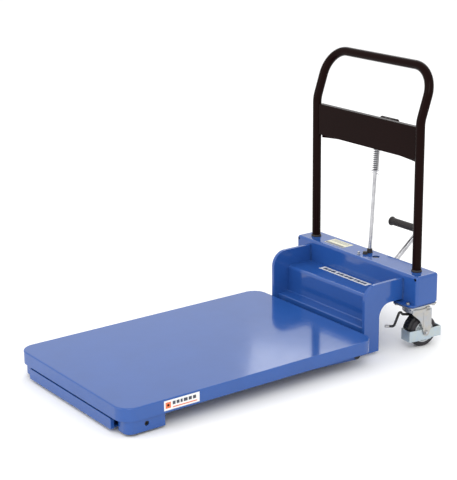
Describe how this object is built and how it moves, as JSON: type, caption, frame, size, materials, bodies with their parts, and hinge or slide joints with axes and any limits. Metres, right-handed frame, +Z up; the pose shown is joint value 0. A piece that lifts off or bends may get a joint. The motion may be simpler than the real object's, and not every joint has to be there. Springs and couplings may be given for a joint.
{
  "type": "hydraulic lift table truck",
  "caption": "Low flatbed lift-table truck with scissor lift, hydraulic foot pump in a rear box, push handle, nose rollers and swivel casters.",
  "frame": {"origin": "on the floor, midway between the nose of the table and the foot pedal grip, on the centre line", "axes": "+X forward to the nose, +Y to the left side, +Z up"},
  "size_m": [1.3142, 0.6004, 0.8913],
  "materials": {
    "blue_paint": "gloss blue enamel",
    "dark_paint": "gloss very dark brown enamel",
    "zinc_plate": "bright zinc plating",
    "chrome_plate": "polished chrome",
    "dark_steel": "black oxide",
    "black_rubber": "moulded rubber",
    "tyre_rubber": "solid rubber tread",
    "wheel_plastic": "moulded nylon",
    "nose_roller": "hard nylon roller",
    "cast_metal": "cast and machined",
    "label_white": "printed film"
  },
  "bodies": {
    "base": {"cheek_left": "blue_paint", "cheek_right": "blue_paint", "step_cover": "blue_paint", "rear_box": "blue_paint", "box_floor": "blue_paint", "rear_cover": "blue_paint", "base_rails": "blue_paint", "nose_bar": "blue_paint", "cross_member": "blue_paint", "wheel_housing_left": "blue_paint", "wheel_housing_right": "blue_paint", "nose_axles": "zinc_plate", "handle_tube": "dark_paint", "rubber_collars": "black_rubber", "front_panel": "dark_paint", "rear_panel": "dark_paint", "release_bracket": "zinc_plate", "pump_body": "cast_metal", "oil_tank": "blue_paint", "pedal_bracket": "zinc_plate", "pressure_pipe": "zinc_plate", "ram_barrels": "cast_metal", "frame_bolts": "zinc_plate", "frame_labels": "label_white", "caster_plates": "zinc_plate"},
    "outer_arms": {"torque_shaft": "dark_steel", "outer_arm_left": "blue_paint", "outer_arm_right": "blue_paint", "pivot_pins": "dark_steel"},
    "inner_arms": {"inner_arm_left": "blue_paint", "inner_arm_right": "blue_paint", "inner_cross_tube": "blue_paint"},
    "deck": {"deck_plate": "blue_paint", "deck_stiffeners": "blue_paint", "deck_brackets": "blue_paint", "rim_label": "label_white"},
    "lower_rollers": {"lower_rollers": "dark_steel"},
    "upper_rollers": {"upper_rollers": "dark_steel"},
    "ram_rods": {"ram_rods": "chrome_plate"},
    "nose_wheel_left": {"nose_wheel_left": "nose_roller"},
    "nose_wheel_right": {"nose_wheel_right": "nose_roller"},
    "pedal": {"pedal_lever": "chrome_plate", "pedal_grip": "black_rubber"},
    "plunger": {"pump_piston": "chrome_plate"},
    "release_lever": {"release_lever": "dark_paint"},
    "release_rod": {"release_rod": "chrome_plate", "release_spring": "chrome_plate"},
    "valve_crank": {"valve_crank": "zinc_plate"},
    "caster_left": {"caster_fork_left": "zinc_plate", "toe_guard_left": "zinc_plate"},
    "wheel_left": {"wheel_hub_left": "wheel_plastic", "caster_tyre_left": "tyre_rubber"},
    "brake_left": {"brake_shoe_left": "dark_steel", "brake_lever_left": "zinc_plate"},
    "caster_right": {"caster_fork_right": "zinc_plate", "toe_guard_right": "zinc_plate"},
    "wheel_right": {"wheel_hub_right": "wheel_plastic", "caster_tyre_right": "tyre_rubber"},
    "brake_right": {"brake_shoe_right": "dark_steel", "brake_lever_right": "zinc_plate"}
  },
  "joints": [
    {"name": "table_lift", "type": "hinge", "parent": "base", "child": "outer_arms", "pos_m": [-0.20288, 0, 0.03], "axis": [0, -1, 0], "range_deg": [0, 30]},
    {"name": "scissor_cross", "type": "hinge", "parent": "outer_arms", "child": "inner_arms", "pos_m": [0.1416, 0, 0.049], "axis": [0, -1, 0], "range_deg": [-60, 0]},
    {"name": "table_level", "type": "hinge", "parent": "inner_arms", "child": "deck", "pos_m": [-0.20288, 0, 0.068], "axis": [0, -1, 0], "range_deg": [0, 30]},
    {"name": "lower_roller_spin", "type": "hinge", "parent": "inner_arms", "child": "lower_rollers", "pos_m": [0.48608, 0, 0.03], "axis": [0, 1, 0], "continuous": true},
    {"name": "upper_roller_spin", "type": "hinge", "parent": "outer_arms", "child": "upper_rollers", "pos_m": [0.48608, 0, 0.068], "axis": [0, 1, 0], "continuous": true},
    {"name": "ram_stroke", "type": "slide", "parent": "base", "child": "ram_rods", "axis": [-1, 0, 0], "range_m": [0, 0.01609]},
    {"name": "nose_wheel_left_spin", "type": "hinge", "parent": "base", "child": "nose_wheel_left", "pos_m": [0.57912, 0.2675, 0.03], "axis": [0, 1, 0], "continuous": true},
    {"name": "nose_wheel_right_spin", "type": "hinge", "parent": "base", "child": "nose_wheel_right", "pos_m": [0.57912, -0.2675, 0.03], "axis": [0, 1, 0], "continuous": true},
    {"name": "pedal_press", "type": "hinge", "parent": "base", "child": "pedal", "pos_m": [-0.47788, 0.0585, 0.1704], "axis": [0, -1, 0], "range_deg": [0, 45], "stiffness_Nm_per_rad": 3, "springref_deg": -28.65},
    {"name": "plunger_stroke", "type": "slide", "parent": "base", "child": "plunger", "axis": [0, 0, 1], "range_m": [0, 0.01685]},
    {"name": "release_squeeze", "type": "hinge", "parent": "base", "child": "release_lever", "pos_m": [-0.48288, 0.008, 0.66], "axis": [0, 1, 0], "range_deg": [0, 15], "stiffness_Nm_per_rad": 0.5, "springref_deg": -22.92},
    {"name": "release_pull", "type": "slide", "parent": "base", "child": "release_rod", "axis": [-0.0645, 0, 0.9979], "range_m": [0, 0.00388], "deforming": ["release_spring"]},
    {"name": "valve_turn", "type": "hinge", "parent": "base", "child": "valve_crank", "pos_m": [-0.45288, 0.008, 0.222], "axis": [0, 1, 0], "range_deg": [0, 13.52]},
    {"name": "caster_left_swivel", "type": "hinge", "parent": "base", "child": "caster_left", "pos_m": [-0.44688, 0.251, 0.122], "axis": [0, 0, 1], "continuous": true},
    {"name": "caster_left_roll", "type": "hinge", "parent": "caster_left", "child": "wheel_left", "pos_m": [-0.47368, 0.25429, 0.05], "axis": [0.1219, 0.9925, 0], "continuous": true},
    {"name": "brake_left_press", "type": "hinge", "parent": "caster_left", "child": "brake_left", "pos_m": [-0.44092, 0.25027, 0.106], "axis": [0.1219, 0.9925, 0], "range_deg": [0, 3]},
    {"name": "caster_right_swivel", "type": "hinge", "parent": "base", "child": "caster_right", "pos_m": [-0.44688, -0.251, 0.122], "axis": [0, 0, 1], "continuous": true},
    {"name": "caster_right_roll", "type": "hinge", "parent": "caster_right", "child": "wheel_right", "pos_m": [-0.47377, -0.25335, 0.05], "axis": [-0.0872, 0.9962, 0], "continuous": true},
    {"name": "brake_right_press", "type": "hinge", "parent": "caster_right", "child": "brake_right", "pos_m": [-0.4409, -0.25048, 0.106], "axis": [-0.0872, 0.9962, 0], "range_deg": [0, 3]}
  ],
  "couplings": [
    {"joint": "scissor_cross", "follows": "table_lift", "ratio": -2},
    {"joint": "table_level", "follows": "table_lift", "ratio": 1},
    {"joint": "ram_stroke", "follows": "table_lift", "m_per_rad": 0.030705},
    {"joint": "plunger_stroke", "follows": "pedal_press", "m_per_rad": 0.021439},
    {"joint": "release_pull", "follows": "release_squeeze", "m_per_rad": 0.014772},
    {"joint": "valve_turn", "follows": "release_squeeze", "ratio": 0.89811}
  ]
}
